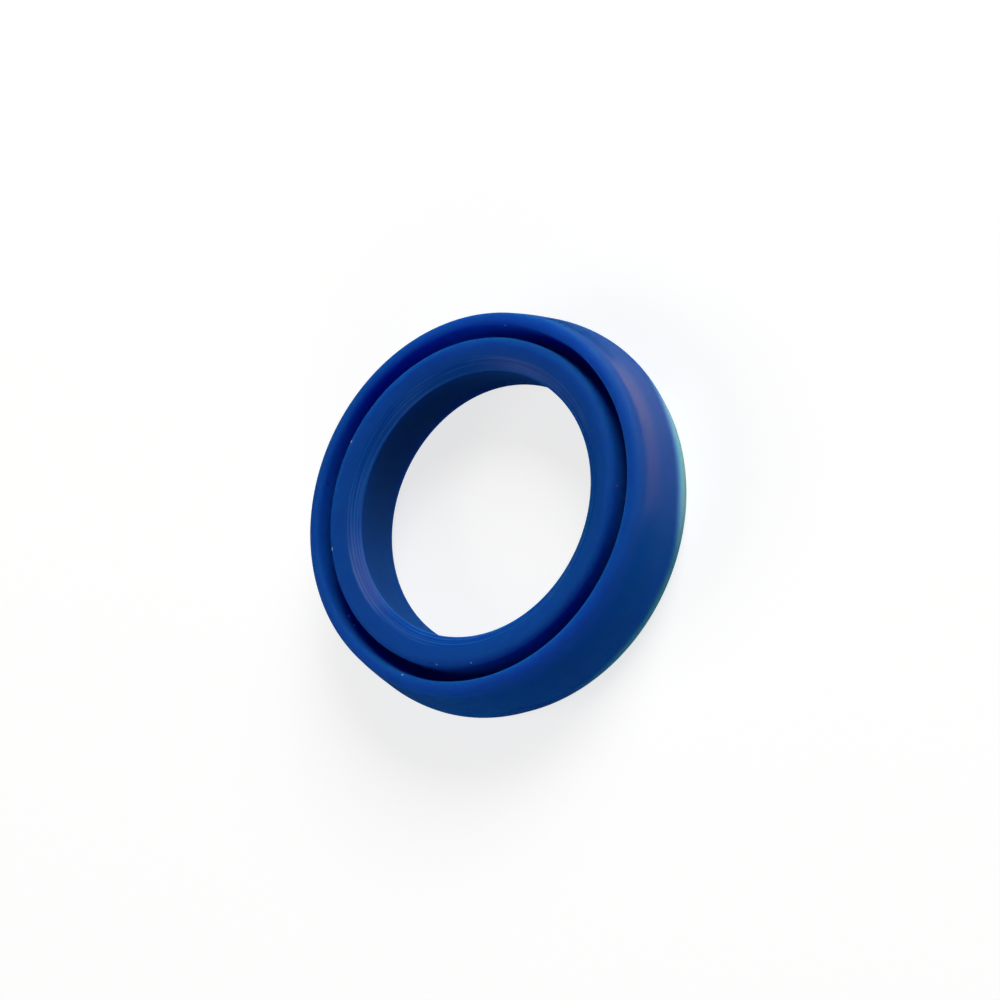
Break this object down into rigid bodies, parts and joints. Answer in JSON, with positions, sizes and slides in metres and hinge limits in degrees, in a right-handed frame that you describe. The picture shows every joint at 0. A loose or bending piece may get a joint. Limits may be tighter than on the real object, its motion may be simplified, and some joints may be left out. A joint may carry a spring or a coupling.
{
  "type": "u-cup rod seal",
  "caption": "U-cup rod seal: one ring with a thin outer lip, a deep groove and a thick inner lip with a trimmed bevel.",
  "frame": {"origin": "centre of the heel's flat face, where the seal's axis meets it", "axes": "+Z along the seal's axis, from the heel towards the lips; X and Y are free, as the ring is round"},
  "size_m": [0.0302, 0.0302, 0.0063],
  "materials": {
    "blue_polyurethane": "satin, moulded all over apart from the trimmed bevel inside the inner lip"
  },
  "bodies": {
    "root": {"u_cup_seal": "blue_polyurethane"}
  },
  "joints": []
}
